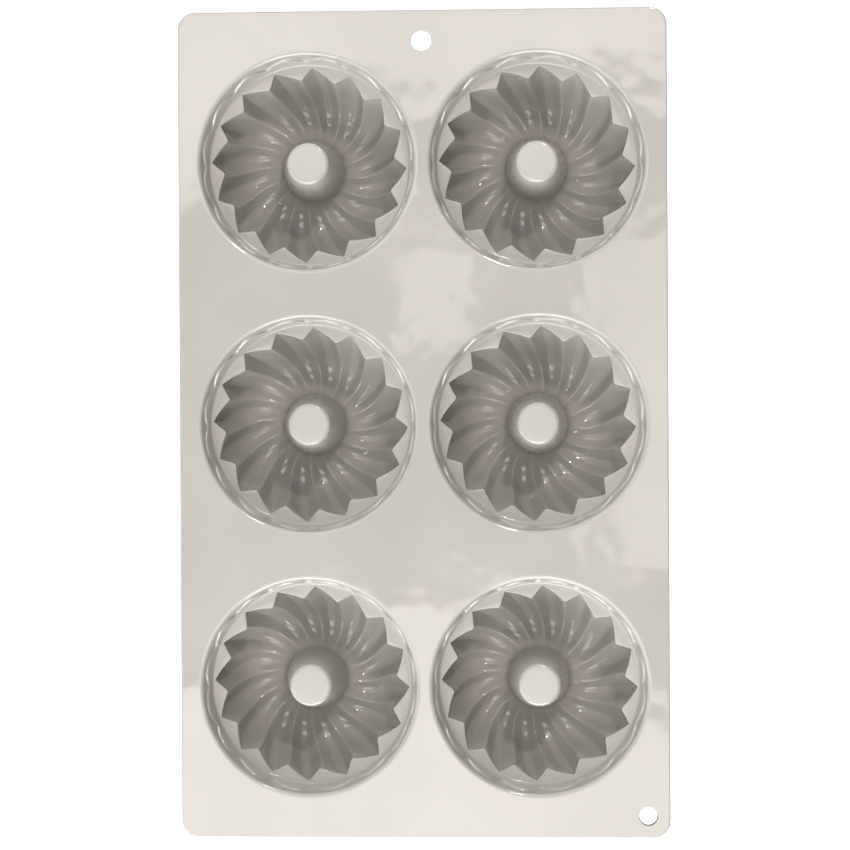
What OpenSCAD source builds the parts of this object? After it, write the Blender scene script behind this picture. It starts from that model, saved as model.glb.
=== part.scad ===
// Crown muffin mould with six cups, moulded in one piece from soft silicone.
// The flat sheet lies uppermost and the cups hang below it on their ridges.
// Each cup is a shallow round recess with a waved step in its wall, a flat
// ring floor, and below that a ring channel with slanted flutes round a
// hollow centre cone. Lengths are in mm and angles in degrees.
// X runs across the two columns of cups, Y along the three rows, and Z
// upward from the ridges that the cups rest on.

/* [Sheet] */
// Width of the flat sheet across the two columns of cups
sheet_w = 175; // [168:1:195]
// Length of the flat sheet along the three rows of cups
sheet_l = 296; // [288:1:320]
// Thickness of the flat sheet
sheet_t = 2; // [1.6:0.1:2.6]
// Radius of the four corners of the sheet
corner_r = 6.4; // [3:0.2:10]

/* [Hang holes] */
// Radius of the hang hole at the middle of the far edge
hang_r = 3.55; // [2.5:0.05:4.5]
// Distance of that hole from the far edge
hang_in = 11.2; // [8:0.2:14]
// Radius of the hang hole at the near right corner
corner_hole_r = 3.3; // [2.5:0.05:4]
// Distance of the corner hole from the right edge and from the near edge
corner_hole_in = 8; // [7:0.2:10]

/* [Cups] */
// Distance between the two columns of cups
pitch_x = 82.3; // [81:0.1:86]
// Distance between the three rows of cups
pitch_y = 93.8; // [82:0.2:96]
// Height of the mould from the resting ridges to the top of the sheet
cup_h = 36; // [32:0.5:42]
// Radius of a cup where its wall meets the top of the sheet
rim_r = 38.2; // [36.5:0.1:39]
// Wall thickness of the cups
wall_t = 1.4; // [1.2:0.1:1.7]
// Depth of the plain round recess down to the ring floor
recess_d = 10; // [8:0.5:12]

/* [Waved step] */
// Ledge width of the step in the recess wall
step_w = 0.7; // [0.4:0.1:0.9]
// Depth of the crests of the wave below the top of the sheet
crest_d = 2.6; // [2:0.2:3.4]
// Height of the wave from trough to crest
wave_h = 4.2; // [2:0.2:4.6]

/* [Flutes] */
// Number of flutes round a cup
flutes = 16; // [12:1:16]
// How far the flutes reach out beyond the ribs at the ring floor
flute_d = 4.7; // [3:0.1:5]
// Height of the ribs in the bottom of the channel
rib_h = 2.2; // [1.2:0.1:2.6]
// Turn of each flute from the ring floor down to the cone
swirl = 16.6; // [0:0.2:22]

/* [Centre cone] */
// Radius of the flat top of the cone
cone_top_r = 7.4; // [6.4:0.1:8]
// Radius of the foot of the cone
cone_foot_r = 11.8; // [11:0.1:12.6]
// Depth of the cone top below the top of the sheet
cone_d = 4; // [1:0.5:7]

/* [Hidden] */
// The whole model, or one named node
// Warm light grey of the silicone
silicone = [0.80, 0.775, 0.74];
// Height of the ring floor above the resting ridges
floor_z = cup_h - recess_d;
// Draft of the recess wall: how much the radius shrinks over the recess
draft = 1.3;
// Radius of the wall below the step where it meets the ring floor
foot_r = rim_r - draft - step_w;
// Radius of the flute tips at the ring floor, just inside the wall
tip_r = foot_r - 0.9;
// Radius of the lowest circle of the channel
low_r = 19.3;
// Height that the channel floor rises from its lowest circle to the cone
rise = 3;
// Tip of the first flute, turned a little from the X axis
phase = -2;
// One flute as an angle
pitch_a = 360 / flutes;
// Circle that carries the outside of the sheet corners
corner_x = sheet_w / 2 - corner_r;
corner_y = sheet_l / 2 - corner_r;
// Fine circles for the exact round faces
$fn = 96;

// Along the channel wall, 0 is level with the ring floor and 90 the bottom
wall_a = [-4, 15, 34, 53, 72, 90];
skin_a = [1.4, 22, 45, 68, 90];
// Then the floor rises toward the cone; 0 is the bottom and 1 the cone foot
rise_f = [0.5, 1.12];
// Angles within one flute, as a share of its width, and how far each lies
// from the sharp flute tip (0) toward the rounded rib (1), first at the ring
// floor and then deeper down, where a flat trough parts the ribs
bay = [[0, 0, 0], [0.28, 0.88, 0.84], [0.39, 0.88, 0.97], [0.76, 0.35, 0.05]];
skin_bay = [[0, 0, 0], [0.34, 0.9, 0.95], [0.76, 0.34, 0]];
// Wall angle from which on the trough is flat
flat_a = 30;
// Waves of the step: share of a flute width, and height share of the wave
wave = [[0.14, 0], [0.33, 0.66], [0.58, 1], [0.86, 0.62]];

// Rib share of one angle of a flute, at wall angle a
function share(b, a) =
  b[1] + (b[2] - b[1]) * min(1, max(0, a / flat_a));
// Radius and height of a point on the channel wall, at wall angle a and
// rib share w, for a surface that lies off outside the cavity
function wall_r(a, w, off) =
  low_r + (tip_r + off - w * flute_d - low_r) * cos(a);
function wall_z(a, w, off) =
  floor_z - (floor_z - wall_t + off - w * rib_h) * sin(a);
// The same on the rising floor at share f
function rise_r(f) = low_r + (cone_foot_r - low_r) * f;
function rise_z(f, w, off) =
  wall_t - off + rise * f * f + w * rib_h * (1 - 0.75 * f);
// Turn of the flutes at radius r of the flute line
function turn(r) = -swirl * (tip_r - r) / (tip_r - cone_foot_r);

// Rings of points round the fluted surface, from the top to the cone
function wall_ring(a, bays, off) = [
  for (k = [0:flutes - 1], b = bays)
    let (t = phase + (k + b[0]) * pitch_a + turn(wall_r(a, 0, 0)))
    let (w = share(b, a), r = wall_r(a, w, off))
    [r * cos(t), r * sin(t), wall_z(a, w, off)]
];
function rise_ring(f, bays, off) = [
  for (k = [0:flutes - 1], b = bays)
    let (r = rise_r(f), t = phase + (k + b[0]) * pitch_a + turn(r))
    [r * cos(t), r * sin(t), rise_z(f, b[2], off)]
];

// Closed fluted solid: swirled side, with a cap at each end that runs to one
// point on the cup axis
module fluted(angles, bays, off) {
  n = flutes * len(bays);
  m = len(angles) + len(rise_f);
  upper = [for (a = angles, p = wall_ring(a, bays, off)) p];
  lower = [for (f = rise_f, p = rise_ring(f, bays, off)) p];
  hubs = [
    [0, 0, rise_z(1.12, 0.5, off)],
    [0, 0, wall_z(angles[0], 0.5, off)]
  ];
  top_cap = [for (i = [0:n - 1]) [i, m * n + 1, (i + 1) % n]];
  sides = [
    for (j = [0:m - 2], i = [0:n - 1])
      let (a = j * n + i, b = j * n + (i + 1) % n, c = a + n, d = b + n)
      for (tri = [[a, b, d], [a, d, c]]) tri
  ];
  low_cap = [
    for (i = [0:n - 1])
      [(m - 1) * n + i, (m - 1) * n + (i + 1) % n, m * n]
  ];
  polyhedron(concat(upper, lower, hubs), concat(top_cap, sides, low_cap));
}

// Solid below the waved ledge, as a disc with a waving top
module wave_disc() {
  n = flutes * len(wave);
  big_r = rim_r + 4;
  hub_z = cup_h - crest_d - wave_h * 0.75;
  stretch = big_r / (rim_r - 1);
  tops = [
    for (k = [0:flutes - 1], p = wave)
      let (t = phase + (k + p[0]) * pitch_a)
      let (z = cup_h - crest_d - wave_h * (1 - p[1]))
      [big_r * cos(t), big_r * sin(t), hub_z + (z - hub_z) * stretch]
  ];
  feet = [for (p = tops) [p[0], p[1], floor_z - 1]];
  hub = [[0, 0, hub_z]];
  crown = [for (i = [0:n - 1]) [i, 2 * n, (i + 1) % n]];
  side = [for (i = [0:n - 1]) [i, (i + 1) % n, n + (i + 1) % n, n + i]];
  under = [[for (i = [0:n - 1]) n + i]];
  polyhedron(concat(tops, feet, hub), concat(crown, side, under));
}

// Recess above the waved ledge, with a rounded lip at the sheet
module upper_recess() {
  low = floor_z + 0.5;
  lip = 1.3;
  lip_arc = [
    for (a = [0:18:72])
      [rim_r + lip * (1 - cos(a)), cup_h - lip + lip * sin(a)]
  ];
  shallow = [rim_r + lip + 0.5, cup_h + 0.3];
  side = [[0, low], [rim_r - draft, low]];
  rotate_extrude()
    polygon(concat(side, lip_arc, [shallow, [0, cup_h + 0.3]]));
}

// Recess below the waved ledge, down to the ring floor
module lower_recess() {
  rotate_extrude()
    polygon([
      [0, floor_z],
      [foot_r, floor_z],
      [foot_r + draft, cup_h + 0.2],
      [0, cup_h + 0.2]
    ]);
}

// Outside of the centre cone
module cone() {
  top_z = cup_h - cone_d;
  rotate_extrude()
    polygon([
      [0, wall_t + rise - 0.8],
      [cone_foot_r + 0.15, wall_t + rise - 0.8],
      [cone_top_r + 0.2, top_z - 1.2],
      [cone_top_r - 0.1, top_z - 0.5],
      [cone_top_r - 0.7, top_z - 0.1],
      [cone_top_r - 1.3, top_z],
      [0, top_z]
    ]);
}

// Hollow of the centre cone, open from below
module cone_hollow() {
  top_z = cup_h - cone_d - wall_t;
  low_in = cone_foot_r - wall_t + 0.5;
  rotate_extrude()
    polygon([
      [0, -1],
      [low_in, -1],
      [cone_top_r - wall_t + 0.2, top_z - 0.9],
      [cone_top_r - wall_t - 0.8, top_z],
      [0, top_z]
    ]);
}

// Everything that is empty inside one cup
module cup_void() {
  difference() {
    union() {
      difference() {
        upper_recess();
        wave_disc();
      }
      lower_recess();
      fluted(wall_a, bay, 0);
    }
    cone();
  }
}

// Outside of one cup: plain collar and fluted shell
module cup_body() {
  collar_z = floor_z - wall_t;
  foot_out = rim_r - draft + wall_t;
  union() {
    rotate_extrude()
      polygon([
        [0, collar_z],
        [foot_out - 0.9, collar_z],
        [foot_out, collar_z + 0.9],
        [rim_r + wall_t, cup_h - sheet_t / 2],
        [0, cup_h - sheet_t / 2]
      ]);
    fluted(skin_a, skin_bay, wall_t + 0.1);
  }
}

// Outline of the sheet with its four round corners
module sheet_outline() {
  union() {
    square([sheet_w, 2 * corner_y], center = true);
    square([2 * corner_x, sheet_l], center = true);
    for (x = [-corner_x, corner_x], y = [-corner_y, corner_y])
      translate([x, y]) circle(corner_r);
  }
}

// Copies what follows to the six cup places
module six() {
  for (i = [-0.5, 0.5], j = [-1, 0, 1])
    translate([i * pitch_x, j * pitch_y, 0]) children();
}

// The whole mould
module mould() {
  color(silicone)
    difference() {
      union() {
        translate([0, 0, cup_h - sheet_t]) linear_extrude(sheet_t)
          sheet_outline();
        six() cup_body();
      }
      six() cup_void();
      six() cone_hollow();
      translate([0, sheet_l / 2 - hang_in, cup_h - sheet_t - 1])
        cylinder(r = hang_r, h = sheet_t + 2);
      translate([
        sheet_w / 2 - corner_hole_in,
        corner_hole_in - sheet_l / 2,
        cup_h - sheet_t - 1
      ])
        cylinder(r = corner_hole_r, h = sheet_t + 2);
    }
}

mould();
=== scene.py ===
import math

import bpy
import numpy as np
from mathutils import Matrix, Vector
from mathutils.geometry import delaunay_2d_cdt


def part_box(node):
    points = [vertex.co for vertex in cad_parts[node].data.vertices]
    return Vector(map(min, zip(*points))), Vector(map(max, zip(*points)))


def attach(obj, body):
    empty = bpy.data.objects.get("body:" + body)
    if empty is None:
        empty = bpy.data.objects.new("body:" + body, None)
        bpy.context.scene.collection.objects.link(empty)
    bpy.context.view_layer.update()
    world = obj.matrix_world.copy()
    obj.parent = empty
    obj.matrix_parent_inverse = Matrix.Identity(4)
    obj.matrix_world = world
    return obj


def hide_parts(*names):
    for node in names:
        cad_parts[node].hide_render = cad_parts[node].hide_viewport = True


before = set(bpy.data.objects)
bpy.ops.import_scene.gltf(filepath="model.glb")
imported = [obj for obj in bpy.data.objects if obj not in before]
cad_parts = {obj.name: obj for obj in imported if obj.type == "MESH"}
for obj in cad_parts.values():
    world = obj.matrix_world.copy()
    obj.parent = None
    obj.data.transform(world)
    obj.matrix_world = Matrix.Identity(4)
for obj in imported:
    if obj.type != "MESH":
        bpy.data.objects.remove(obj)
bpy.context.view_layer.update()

# ---------------------------------------------------------------------------
# The flat sheet
# The mould's top is a flat silicone sheet about 2 mm thick, pressed in one
# piece with its cups, with softly rounded edges and two punched hang holes.
# The hole at the near right corner narrows a little toward its lower side.

MM = 0.001
mould_low, mould_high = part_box("mould")
sheet_w = (mould_high.x - mould_low.x) / MM
sheet_l = (mould_high.y - mould_low.y) / MM
cup_h = mould_high.z / MM
sheet_t = 2.0
corner_r = 6.4
edge_round = 0.7
hang_in, hang_r = 11.2, 3.55
corner_hole_in, corner_hole_r = 8.0, 3.3
hang_holes = [(0.0, sheet_l / 2 - hang_in, hang_r),
              (sheet_w / 2 - corner_hole_in, corner_hole_in - sheet_l / 2, corner_hole_r)]
hole_round, hole_sides, corner_taper = 0.12, 48, 0.22
pitch_x, pitch_y = 82.3, 93.8
cup_places = [(i * pitch_x, j * pitch_y) for j in (1, 0, -1) for i in (-0.5, 0.5)]
edge_step = 5.0
border_rings = (0.9, 0.2)

points = []
faces = []


def add_points(new):
    """Adds an array of points in mm and gives the number of the first."""
    first = sum(len(p) for p in points)
    points.append(np.asarray(new, float))
    return first


def join_rings(first_a, first_b, n, flip=False):
    """Faces between two closed rings of n points each."""
    for i in range(n):
        k = (i + 1) % n
        face = (first_a + i, first_a + k, first_b + k, first_b + i)
        faces.append(face[::-1] if flip else face)


def join_stack(rings, n, flip=False):
    """Adds rings of n points one under the other and joins them."""
    firsts = [add_points(r) for r in rings]
    for a, b in zip(firsts, firsts[1:]):
        join_rings(a, b, n, flip)
    return firsts


def sheet_edge(inset):
    """The sheet's outline in mm, drawn in by inset, counter-clockwise."""
    out = []
    r = corner_r - inset
    cx, cy = sheet_w / 2 - corner_r, sheet_l / 2 - corner_r
    for k, (sx, sy) in enumerate([(1, 1), (-1, 1), (-1, -1), (1, -1)]):
        for a in np.linspace(0, 90, 10):
            t = math.radians(a + 90 * k)
            out.append((sx * cx + r * math.cos(t), sy * cy + r * math.sin(t)))
        along = [(0, 1), (1, 1), (0, -1), (1, -1)][k]
        span = 2 * (cx if along[0] == 0 else cy)
        steps = int(round(span / edge_step))
        x, y = out[-1]
        for s in range(1, steps):
            step = span * s / steps
            out.append([(x - step, y), (x, y - step), (x + step, y), (x, y + step)][k])
    return np.array(out)


def flat_rings(outline_at, z_top, z_low, bulge, taper=0.0):
    """Rings round a cut edge: outline_at(inset) drawn from the top face over the
    rounded edge to the lower face, where a hole is narrower by taper."""
    count = len(outline_at(0))
    rings = [np.c_[outline_at(bulge + s), np.full(count, z_top)] for s in border_rings]
    for q in np.linspace(0, 90, 5):
        t = math.radians(q)
        xy = outline_at(bulge * (1 - math.sin(t)))
        rings.append(np.c_[xy, np.full(count, z_top - bulge * (1 - math.cos(t)))])
    for q in np.linspace(0, 90, 5):
        t = math.radians(q)
        xy = outline_at(bulge * (1 - math.cos(t)) - taper)
        rings.append(np.c_[xy, np.full(count, z_low + bulge * (1 - math.sin(t)))])
    rings += [np.c_[outline_at(bulge + s), np.full(count, z_low)] for s in border_rings[::-1]]
    return rings


def hole_edge(cx, cy, r):
    """A hang hole's outline in mm, widened by inset."""
    t = np.radians(np.arange(0, 360, 360 / hole_sides))

    def outline(inset):
        return np.c_[cx + (r + inset) * np.cos(t), cy + (r + inset) * np.sin(t)]
    return outline


cup_clear_r, hole_clear, border_clear = 42.0, 2.5, 3.0


def fill_face(outer, holes, z, grid, upward):
    """Fills the flat face between the outer ring and the holes' rings, with a
    grid of points between them. Each ring is (first point number, its points
    in mm). A triangle between three points of one hole's ring would cover that
    hole, so it is left out."""
    flat, numbers, edges, hole_of = [], [], [], []
    for hole, (first, ring) in enumerate([outer] + holes):
        n = len(ring)
        edges += [(len(flat) + i, len(flat) + (i + 1) % n) for i in range(n)]
        flat += [Vector((p[0], p[1])) for p in ring]
        numbers += [first + i for i in range(n)]
        hole_of += [hole] * n
    keep = []
    for x in np.arange(-sheet_w / 2 + grid / 2, sheet_w / 2, grid):
        for y in np.arange(-sheet_l / 2 + grid / 2, sheet_l / 2, grid):
            near_cup = any(math.hypot(x - cx, y - cy) < cup_clear_r for cx, cy in cup_places)
            near_hole = any(math.hypot(x - cx, y - cy) < r + hole_clear for cx, cy, r in hang_holes)
            at_edge = abs(x) > sheet_w / 2 - border_clear or abs(y) > sheet_l / 2 - border_clear
            in_corner = abs(x) > sheet_w / 2 - corner_r and abs(y) > sheet_l / 2 - corner_r
            if not (near_cup or near_hole or at_edge or in_corner):
                keep.append((x, y))
    base = add_points([(x, y, z) for x, y in keep])
    flat += [Vector(p) for p in keep]
    numbers += [base + i for i in range(len(keep))]
    hole_of += [0] * len(keep)
    verts, _, tris, came_from, _, _ = delaunay_2d_cdt(flat, edges, [], 0, 1e-6)
    where = [c[0] for c in came_from]
    for tri in tris:
        met = {hole_of[where[i]] for i in tri}
        inside_hole = len(met) == 1 and 0 not in met
        if not inside_hole:
            face = tuple(numbers[where[i]] for i in tri)
            faces.append(face if upward else face[::-1])


edge_rings = flat_rings(sheet_edge, cup_h, cup_h - sheet_t, edge_round)
edge_firsts = join_stack(edge_rings, len(edge_rings[0]), flip=True)
hole_tops, hole_feet, shaded_hole_faces = [], [], []
# These strips of the corner hole's wall get the darker colour that paints the shade inside the
# hole.
first_shaded_strip, last_shaded_strip = 3, 9
for cx, cy, r in hang_holes:
    at_corner = cx > 0
    taper = corner_taper if at_corner else 0.0
    rings = flat_rings(hole_edge(cx, cy, r), cup_h, cup_h - sheet_t, hole_round, taper)
    first_face = len(faces)
    firsts = join_stack(rings, hole_sides)
    if at_corner:
        shaded_hole_faces += range(first_face + first_shaded_strip * hole_sides,
                           first_face + (last_shaded_strip + 1) * hole_sides)
    hole_tops.append((firsts[0], rings[0]))
    hole_feet.append((firsts[-1], rings[-1]))

# ---------------------------------------------------------------------------
# The six cups, inside
# Each cup, pressed in silicone in one with the sheet, is a round recess with a
# rounded lip, a step that waves once for each flute and a flat ring floor, over
# a ring channel of sixteen slanted, crisply creased flutes round a hollow cone.

flutes = 16
phase = math.radians(-2.0)
pitch_a = 2 * math.pi / flutes
rim_r, recess_d, draft, lip = 38.2, 10.0, 1.3, 1.3
step_w, crest_d, wave_h = 0.7, 2.6, 4.2
wall_t = 1.4
flute_d, rib_h, swirl = 4.7, 2.2, math.radians(16.6)
cone_top_r, cone_foot_r, cone_d = 7.4, 11.8, 4.0
low_r, rise = 19.3, 3.0
floor_z = cup_h - recess_d
foot_r = rim_r - draft - step_w
tip_r = foot_r - 0.9
foot_round, floor_round = (0.4, 0.45), 0.16
disc_round_w, disc_round_h, disc_hub_r = 1.3, 1.2, 3.4
rib_high_at, rib_low_at, trough_from = 0.305, 0.35, 0.76


def rib_share(u, crisp, crease, deep):
    """How far a point at share u of a flute lies from the tip to the rib. The
    rib is rounder where crisp is low, the trough where crease is high. Where
    deep goes from 0 to 1, the sharp tip widens to a flat trough."""
    rib_at = rib_high_at + (rib_low_at - rib_high_at) * deep
    last = 1 - (1 - trough_from) * deep
    up = u / rib_at
    down = (last - u) / (last - rib_at)
    w = -np.log(np.exp(-crisp * up) + np.exp(-crisp * down)) / crisp
    w = np.maximum(w, (u - 1) / rib_at)
    return (w + np.sqrt(w ** 2 + crease ** 2)) / 2


def depth_share(a):
    """Goes softly from 0 at the ring floor to 1 where the trough is flat."""
    s = min(1.0, a / 30)
    return s * s * (3 - 2 * s)


def wall_point(a, w, off):
    """Radius and height on the channel wall: a is 0 at the floor, 90 deg low."""
    r = low_r + (tip_r + off - w * flute_d - low_r) * math.cos(a)
    z = floor_z - (floor_z - wall_t + off - w * rib_h) * math.sin(a)
    return r, z


def turn_at(r):
    """Angle by which the flutes have turned at radius r of the flute line."""
    return -swirl * (tip_r - r) / (tip_r - cone_foot_r)


def round_ring(u, r, z, turn=0.0):
    """One ring of points: u within each flute, r and z one value or one per u."""
    r = np.broadcast_to(r, u.shape)
    z = np.broadcast_to(z, u.shape)
    t = phase + turn + (np.arange(flutes)[:, None] + u[None, :]) * pitch_a
    r = np.broadcast_to(r, t.shape)
    z = np.broadcast_to(z, t.shape)
    return np.c_[(r * np.cos(t)).ravel(), (r * np.sin(t)).ravel(), z.ravel()]


def wave_height(u):
    """Height share of the waved step: round crests, narrow troughs."""
    s = (u - 0.14) % 1.0
    h = np.abs(np.sin(math.pi * s)) ** 0.9
    return np.sqrt(h ** 2 + 0.012) - 0.06


bay = np.array([0, .02, .14, .24, .29, .33, .37, .42, .56, .69, .74, .79, .87, .975])


def inside_rings():
    """The inside of one cup, ring by ring from the sheet to the cone top, and
    the number of the ring where the ring floor starts."""
    u = bay
    out = [round_ring(u, rim_r + lip + s, cup_h) for s in (1.2, 0.3)]
    for q in np.linspace(90, 0, 6):
        t = math.radians(q)
        r = rim_r + lip * (1 - math.cos(t))
        out.append(round_ring(u, r, cup_h - lip + lip * math.sin(t)))
    zw = cup_h - crest_d - wave_h * (1 - wave_height(u))

    def upper_r(z):
        return rim_r - draft * (cup_h - lip - z) / (recess_d - lip)
    for share in (0.45, 0.85):
        z = cup_h - lip + (zw + 0.25 - cup_h + lip) * share
        out.append(round_ring(u, upper_r(z), z))
    for dr, dz in ((0, .22), (-.10, .05), (-.30, -.02), (-.52, -.10), (-.66, -.26), (-.70, -.5)):
        z = zw + dz
        out.append(round_ring(u, upper_r(z) + dr, z))
    low_edge = floor_z + foot_round[1]
    for share in (0.5, 1.0):
        z = (zw - 0.5) + (low_edge - zw + 0.5) * share
        out.append(round_ring(u, upper_r(z) - step_w, z))
    r0 = foot_r + 0.05
    for q in (30, 60, 90):
        t = math.radians(q)
        out.append(round_ring(u, r0 - foot_round[0] * (1 - math.cos(t)),
                              floor_z + foot_round[1] * (1 - math.sin(t))))
    floor_band = len(out) - 1
    star = tip_r - rib_share(u, 9, 0.01, 0) * flute_d
    out.append(round_ring(u, (r0 - foot_round[0] + star + floor_round) / 2, floor_z))
    for q in (0, 30, 60, 90):
        t = math.radians(q)
        out.append(round_ring(u, star + floor_round * (1 - math.sin(t)),
                              floor_z - floor_round * (1 - math.cos(t))))
    for a in (4, 10, 17, 24, 31, 39, 47, 55, 63, 71, 80, 90):
        t = math.radians(a)
        w = rib_share(u, 9 + a / 45, 0.01 + 0.06 * a / 90, depth_share(a))
        r, z = wall_point(t, w, 0)
        tr = turn_at(low_r + (tip_r - low_r) * math.cos(t))
        out.append(round_ring(u, r, z, tr))
    for f in (0.15, 0.35, 0.56, 0.78, 1.0):
        w = rib_share(u, 11 - 3 * f, 0.07 + 0.05 * f, 1)
        r = low_r + (cone_foot_r - low_r) * f
        z = wall_t + rise * f * f + w * rib_h * (1 - 0.75 * f)
        out.append(round_ring(u, r, z, turn_at(r)))
    top_z = cup_h - cone_d
    neck_z, neck_r = top_z - disc_round_h, cone_top_r + 0.2
    foot_z, channel_z = wall_t + rise, z
    for share in (0.06, 0.3, 0.65, 1.0):
        z = channel_z + (neck_z - channel_z) * share
        r = cone_foot_r + (neck_r - cone_foot_r) * (z - foot_z) / (neck_z - foot_z)
        out.append(round_ring(u, r, z, -swirl))
    for q in (25, 50, 70, 90):
        t = math.radians(q)
        r = neck_r - disc_round_w * (1 - math.cos(t))
        out.append(round_ring(u, r, neck_z + disc_round_h * math.sin(t), -swirl))
    out.append(round_ring(u, disc_hub_r, top_z, -swirl))
    return out, floor_band


cup_tops, matt_faces = [], []
inside, floor_band = inside_rings()
n_in = flutes * len(bay)
for cx, cy in cup_places:
    shifted = [ring + np.array([cx, cy, 0]) for ring in inside]
    first_face = len(faces)
    firsts = join_stack(shifted, n_in)
    matt_faces += range(first_face + floor_band * n_in, first_face + (floor_band + 2) * n_in)
    hub = add_points([(cx, cy, cup_h - cone_d)])
    faces += [(firsts[-1] + i, firsts[-1] + (i + 1) % n_in, hub) for i in range(n_in)]
    matt_faces += range(len(faces) - 2 * n_in, len(faces))
    cup_tops.append((firsts[0], shifted[0]))

top_grid = 6.0
fill_face((edge_firsts[0], edge_rings[0]), cup_tops + hole_tops, cup_h, top_grid, True)

# ---------------------------------------------------------------------------
# The six cups, outside
# Below the sheet the same silicone shows the flutes from outside, one wall
# thickness away, under a plain collar, with the cone's hollow open below. The
# press's lower half forms it, and the ridges are what the mould stands on.

skin_bay = np.array([0, .06, .26, .34, .42, .66, .76, .88])
skin_gap = wall_t + 0.1
collar_round, sheet_round = 0.9, 0.8


def outside_rings():
    """The outside of one cup, ring by ring from the sheet to the hollow's end."""
    u = skin_bay
    foot_out = rim_r - draft + wall_t
    under = floor_z - wall_t
    collar_z, sheet_mid, sheet_low = under + collar_round, cup_h - sheet_t / 2, cup_h - sheet_t

    def collar_r(z):
        return foot_out + (rim_r + wall_t - foot_out) * (z - collar_z) / (sheet_mid - collar_z)
    out = [round_ring(u, collar_r(sheet_low) + sheet_round + s, sheet_low) for s in (0.6, 0.2)]
    for q in (0, 45, 90):
        t = math.radians(q)
        z = sheet_low - sheet_round * (1 - math.cos(t))
        out.append(round_ring(u, collar_r(z) + sheet_round * (1 - math.sin(t)), z))
    out.append(round_ring(u, collar_r(floor_z + 3), floor_z + 3))
    for q in (0, 30, 60, 90):
        t = math.radians(q)
        out.append(round_ring(u, foot_out - collar_round * (1 - math.cos(t)),
                              collar_z - collar_round * math.sin(t)))
    for a in (3.2, 12, 24, 36, 48, 60, 75, 90):
        t = math.radians(a)
        w = rib_share(u, 10, 0.03 + 0.05 * a / 90, depth_share(a))
        r, z = wall_point(t, w, skin_gap)
        if a < 4:
            z = np.full_like(r, under)
        out.append(round_ring(u, r, z, turn_at(low_r + (tip_r - low_r) * math.cos(t))))
    for f in (0.33, 0.66, 1.0):
        w = rib_share(u, 9 - 2 * f, 0.08, 1)
        r = low_r + (cone_foot_r - low_r) * f
        z = wall_t - skin_gap + rise * f * f + w * rib_h * (1 - 0.75 * f)
        out.append(round_ring(u, r, z, turn_at(r)))
    top_z = cup_h - cone_d - wall_t
    shoulder_z = top_z - 0.9
    low_in = cone_foot_r - wall_t + 0.5
    high_in = cone_top_r - wall_t + 0.2

    def hollow_r(z):
        return low_in + (high_in - low_in) * (z + 1) / (shoulder_z + 1)
    out.append(round_ring(u, hollow_r(3.6) + 0.1, 3.15, -swirl))
    for z in (3.9, 16, shoulder_z):
        out.append(round_ring(u, hollow_r(z), z, -swirl))
    for r in (high_in - 1.0, 2.5):
        out.append(round_ring(u, r, top_z, -swirl))
    return out


cup_feet = []
outside = outside_rings()
n_out = flutes * len(skin_bay)
for cx, cy in cup_places:
    shifted = [ring + np.array([cx, cy, 0]) for ring in outside]
    firsts = join_stack(shifted, n_out, flip=True)
    hub = add_points([(cx, cy, cup_h - cone_d - wall_t)])
    faces += [(firsts[-1] + (i + 1) % n_out, firsts[-1] + i, hub) for i in range(n_out)]
    cup_feet.append((firsts[0], shifted[0]))

low_grid = 12.0
fill_face((edge_firsts[-1], edge_rings[-1]), cup_feet + hole_feet, cup_h - sheet_t, low_grid, False)

# ---------------------------------------------------------------------------
# The moulded piece as a whole
# Sheet and cups come out of the press as one piece of silicone, warm light
# grey and glossy, with the soft sheet a few tenths of a millimetre out of
# flat. That waviness fades out downward, so the cups still stand level.

solid = np.vstack(points)
x, y, z = solid.T
waviness = (0.10 * np.sin(x / 21 + 0.8) * np.sin(y / 33 + 0.4)
            + 0.08 * np.sin(x / 37 - y / 26 + 2.1) + 0.05 * np.sin(x / 13 + y / 17 + 1.0))
most_down, still_z, free_z = 0.24, 12, 30
share_up = np.clip((z - still_z) / (free_z - still_z), 0, 1)
share_up = share_up * share_up * (3 - 2 * share_up)
solid[:, 2] = z + (waviness - most_down) * share_up

mesh = bpy.data.meshes.new("mould_silicone")
mesh.from_pydata([tuple(p) for p in solid * MM], [], faces)
mould = bpy.data.objects.new("mould_silicone", mesh)
bpy.context.scene.collection.objects.link(mould)
mesh.shade_smooth()

# The pigment is mixed a little unevenly, the surface lies a little uneven under
# its fine pressed grain, and it carries a few specks of dust.


def noise(tree, scale, detail):
    """A noise over the mould in its own metres."""
    place = tree.nodes.new("ShaderNodeTexCoord")
    made = tree.nodes.new("ShaderNodeTexNoise")
    made.inputs["Scale"].default_value = scale
    made.inputs["Detail"].default_value = detail
    tree.links.new(place.outputs["Object"], made.inputs["Vector"])
    return made.outputs["Fac"]


def spread(tree, source, from_low, from_high, to_low, to_high):
    """Stretches a value from one range to another."""
    made = tree.nodes.new("ShaderNodeMapRange")
    made.inputs["From Min"].default_value = from_low
    made.inputs["From Max"].default_value = from_high
    made.inputs["To Min"].default_value = to_low
    made.inputs["To Max"].default_value = to_high
    tree.links.new(source, made.inputs["Value"])
    return made.outputs["Result"]


def blend(tree, factor, first, second):
    """A colour between two colours that come from sockets."""
    made = tree.nodes.new("ShaderNodeMix")
    made.data_type = "RGBA"
    tree.links.new(factor, made.inputs["Factor"])
    tree.links.new(first, made.inputs["A"])
    tree.links.new(second, made.inputs["B"])
    return made.outputs["Result"]


def new_group(name, inputs, output, kind):
    """An effect with named inputs and one named output."""
    group = bpy.data.node_groups.new(name, "ShaderNodeTree")
    for socket, socket_kind in inputs:
        group.interface.new_socket(socket, in_out="INPUT", socket_type=socket_kind)
    group.interface.new_socket(output, in_out="OUTPUT", socket_type=kind)
    return group, group.nodes.new("NodeGroupInput"), group.nodes.new("NodeGroupOutput")


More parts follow.
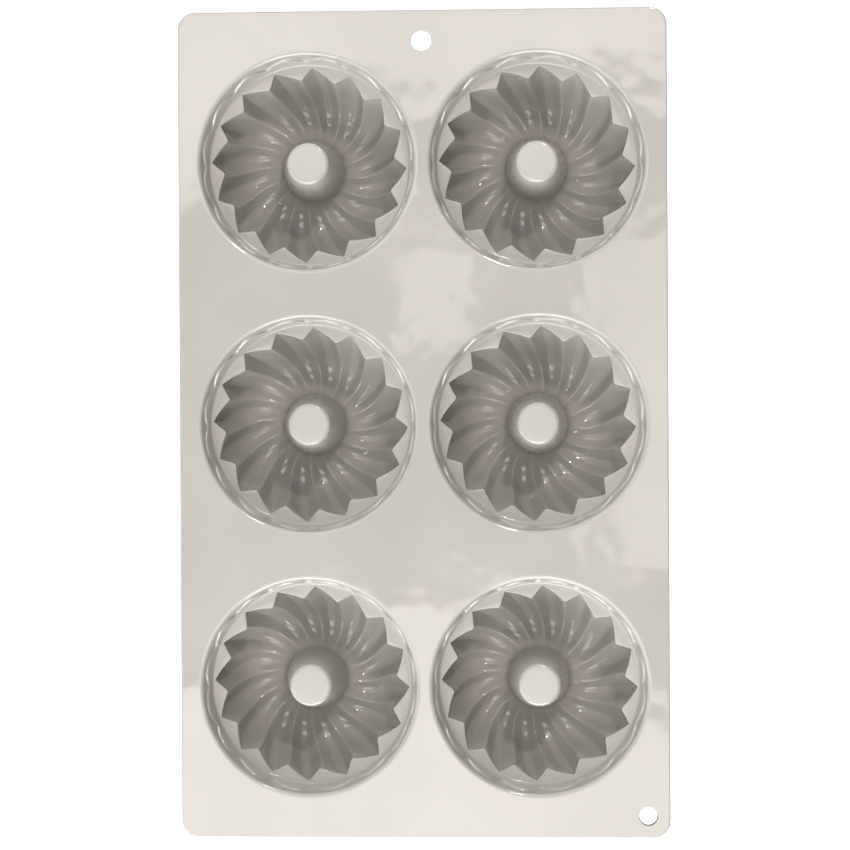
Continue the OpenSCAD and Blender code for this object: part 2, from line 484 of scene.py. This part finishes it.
dusty_pigment, given, result = new_group(
    "dusty_pigment",
    [("Darker Batch", "NodeSocketColor"), ("Lighter Batch", "NodeSocketColor"),
     ("Dust", "NodeSocketColor")],
    "Colour", "NodeSocketColor")
batch = spread(dusty_pigment, noise(dusty_pigment, 22, 3), 0.35, 0.65, 0, 1)
pigment = blend(dusty_pigment, batch, given.outputs["Darker Batch"], given.outputs["Lighter Batch"])
dust_cells = dusty_pigment.nodes.new("ShaderNodeTexVoronoi")
dust_cells.inputs["Scale"].default_value = 62
dust_place = dusty_pigment.nodes.new("ShaderNodeTexCoord")
dusty_pigment.links.new(dust_place.outputs["Object"], dust_cells.inputs["Vector"])
speck = spread(dusty_pigment, dust_cells.outputs["Distance"], 0.016, 0.024, 0.6, 0)
dusted = blend(dusty_pigment, speck, pigment, given.outputs["Dust"])
dusty_pigment.links.new(dusted, result.inputs["Colour"])

pressed_surface, given, result = new_group(
    "pressed_surface", [("Warp Depth", "NodeSocketFloat"), ("Grain Depth", "NodeSocketFloat")],
    "Normal", "NodeSocketVector")
warp = pressed_surface.nodes.new("ShaderNodeBump")
warp.inputs["Strength"].default_value = 1.0
pressed_surface.links.new(given.outputs["Warp Depth"], warp.inputs["Distance"])
pressed_surface.links.new(noise(pressed_surface, 18, 3), warp.inputs["Height"])
grain = pressed_surface.nodes.new("ShaderNodeBump")
grain.inputs["Strength"].default_value = 0.02
pressed_surface.links.new(given.outputs["Grain Depth"], grain.inputs["Distance"])
pressed_surface.links.new(noise(pressed_surface, 2600, 2), grain.inputs["Height"])
pressed_surface.links.new(warp.outputs["Normal"], grain.inputs["Normal"])
pressed_surface.links.new(grain.outputs["Normal"], result.inputs["Normal"])


def silicone_material(name):
    """Silicone with its pigment, dust and pressed surface, without a roughness."""
    made = bpy.data.materials.new(name)
    made.use_nodes = True
    tree = made.node_tree
    shader = tree.nodes["Principled BSDF"]
    shader.inputs["IOR"].default_value = 1.5
    colour = tree.nodes.new("ShaderNodeGroup")
    colour.node_tree = dusty_pigment
    colour.inputs["Darker Batch"].default_value = (0.250, 0.2365, 0.2185, 1)
    colour.inputs["Lighter Batch"].default_value = (0.267, 0.2525, 0.2335, 1)
    colour.inputs["Dust"].default_value = (0.16, 0.13, 0.11, 1)
    tree.links.new(colour.outputs["Colour"], shader.inputs["Base Color"])
    surface = tree.nodes.new("ShaderNodeGroup")
    surface.node_tree = pressed_surface
    surface.inputs["Warp Depth"].default_value = 0.0008
    surface.inputs["Grain Depth"].default_value = 0.0001
    tree.links.new(surface.outputs["Normal"], shader.inputs["Normal"])
    return made, tree, shader


# Most of the mould is glossy, with slow changes of sheen where it was handled.
soft, tree, shader = silicone_material("soft_silicone")
tree.links.new(spread(tree, noise(tree, 30, 4), 0.3, 0.7, 0.04, 0.07), shader.inputs["Roughness"])

# The cone tops and the ring floors are matt.
matt, tree, shader = silicone_material("matt_silicone")
shader.inputs["Roughness"].default_value = 0.35

# The wall of the punched corner hole is dull, and its colour is darkened as painted shade inside
# that hole.
cut = bpy.data.materials.new("hole_wall_painted_shade")
cut.use_nodes = True
shader = cut.node_tree.nodes["Principled BSDF"]
shader.inputs["Base Color"].default_value = (0.17, 0.155, 0.14, 1)
shader.inputs["Roughness"].default_value = 0.9
shader.inputs["Specular IOR Level"].default_value = 0.1

# The corner hole's wall gets the darker material, whose colour is painted shade.
matt_slot, shaded_hole_slot = 1, 2
for made in (soft, matt, cut):
    mesh.materials.append(made)
for chosen, slot in ((matt_faces, matt_slot), (shaded_hole_faces, shaded_hole_slot)):
    for number in chosen:
        mesh.polygons[number].material_index = slot
mesh.validate()

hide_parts("mould")
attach(mould, "root")

# ---------------------------------------------------------------------------
# The studio: a pale table with nine soft boxes round it and seven lit panels
# in the ceiling, which the flat sheet mirrors as its pale patches, and a
# camera that looks straight down on the mould.

table_mesh = bpy.data.meshes.new("table")
half_w, table_z = 3.0, mould_low.z
corners = [(i * half_w, j * half_w, table_z) for i, j in ((-1, -1), (1, -1), (1, 1), (-1, 1))]
table_mesh.from_pydata(corners, [], [(0, 1, 2, 3)])
table = bpy.data.objects.new("table", table_mesh)
bpy.context.scene.collection.objects.link(table)
pale = bpy.data.materials.new("pale_table")
pale.use_nodes = True
table_shader = pale.node_tree.nodes["Principled BSDF"]
table_shader.inputs["Base Color"].default_value = (0.9, 0.9, 0.9, 1)
table_shader.inputs["Roughness"].default_value = 0.9
table_shader.inputs["Specular IOR Level"].default_value = 0.0
table_shader.inputs["Emission Color"].default_value = (1, 1, 1, 1)
table_shader.inputs["Emission Strength"].default_value = 1.0
table_mesh.materials.append(pale)

mould_middle = (0, 0, 0.02)
cool, warm = (0.96, 1, 1), (1, 0.96, 0.92)


def soft_box(name, place_at, size_x, size_y, watts, target=mould_middle, tint=cool):
    """A flat soft box that faces the mould."""
    lamp = bpy.data.lights.new(name, "AREA")
    lamp.color = tint
    lamp.shape = "RECTANGLE"
    lamp.size, lamp.size_y, lamp.energy = size_x, size_y, watts
    box = bpy.data.objects.new(name, lamp)
    box.location = place_at
    aim = Vector(target) - Vector(place_at)
    box.rotation_euler = aim.to_track_quat("-Z", "Y").to_euler()
    bpy.context.scene.collection.objects.link(box)


soft_box("far_grazing_box", (0, 1.387, 0.444), 1.2, 0.4, 8.5)
soft_box("far_low_box", (0, 1.292, 0.658), 1.2, 0.6, 7)
soft_box("far_high_box", (0.32, 0.90, 1.28), 0.14, 0.14, 9, tint=warm)
soft_box("near_grazing_box", (0, -1.387, 0.444), 1.2, 0.4, 10.5)
soft_box("near_low_box", (0, -1.292, 0.658), 1.3, 0.65, 19)
soft_box("near_high_box", (0, -1.06, 0.989), 0.7, 0.5, 8, tint=warm)
soft_box("near_left_box", (-0.914, -0.914, 0.658), 1.2, 0.6, 12)
soft_box("far_left_box", (-0.914, 0.914, 0.658), 1.2, 0.6, 4)
soft_box("left_box", (-1.18, -0.22, 0.75), 1.0, 0.6, 4)

ceiling_z = 1.636
ceiling_tint = (1, 0.96, 0.945)


def ceiling_panel(name, x_from, x_to, y_from, y_to, radiance):
    """A lit panel in the ceiling, which the flat sheet mirrors."""
    size_x, size_y = x_to - x_from, y_to - y_from
    x, y = (x_from + x_to) / 2, (y_from + y_to) / 2
    watts = radiance * math.pi * size_x * size_y
    soft_box(name, (x, y, ceiling_z), size_x, size_y, watts, (x, y, 0), ceiling_tint)


ceiling_panel("far_left_panel", -0.775, -0.10, 0.245, 0.80, 4.2)
ceiling_panel("far_right_panel", -0.10, 0.50, 0.36, 0.80, 4.2)
ceiling_panel("middle_panel", -0.11, -0.02, 0.08, 0.20, 2.6)
ceiling_panel("right_panel", 0.127, 0.45, -0.15, 0.214, 2.8)
ceiling_panel("near_left_panel", -0.775, -0.15, -0.85, -0.315, 4.6)
ceiling_panel("near_middle_panel", -0.15, 0.06, -0.85, -0.195, 4.6)
ceiling_panel("near_right_panel", 0.06, 0.50, -0.85, -0.338, 4.6)
world = bpy.data.worlds.new("studio")
world.use_nodes = True
room = world.node_tree.nodes["Background"]
room.inputs["Color"].default_value = (1, 0.95, 0.92, 1)
room.inputs["Strength"].default_value = 0.26
bpy.context.scene.world = world
bpy.context.scene.view_settings.view_transform = "Standard"

focal_px, frame_px, sensor_w = 2142.84, 850, 36
tilt_x, tilt_y, roll = 0.0038, -0.04026, 0.00539
eye_x, eye_y, above_sheet = 0.03146, 0.00256, 763.7
camera = bpy.data.cameras.new("camera")
camera.sensor_width = sensor_w
camera.lens = sensor_w * focal_px / frame_px
camera.clip_end = 20
eye = bpy.data.objects.new("camera", camera)
turned = (Matrix.Rotation(roll, 3, "Z") @ Matrix.Rotation(tilt_y, 3, "Y")
          @ Matrix.Rotation(tilt_x, 3, "X")).transposed()
eye.matrix_world = (Matrix.Translation((eye_x, eye_y, (cup_h + above_sheet) * MM))
                    @ turned.to_4x4())
bpy.context.scene.collection.objects.link(eye)
bpy.context.scene.camera = eye
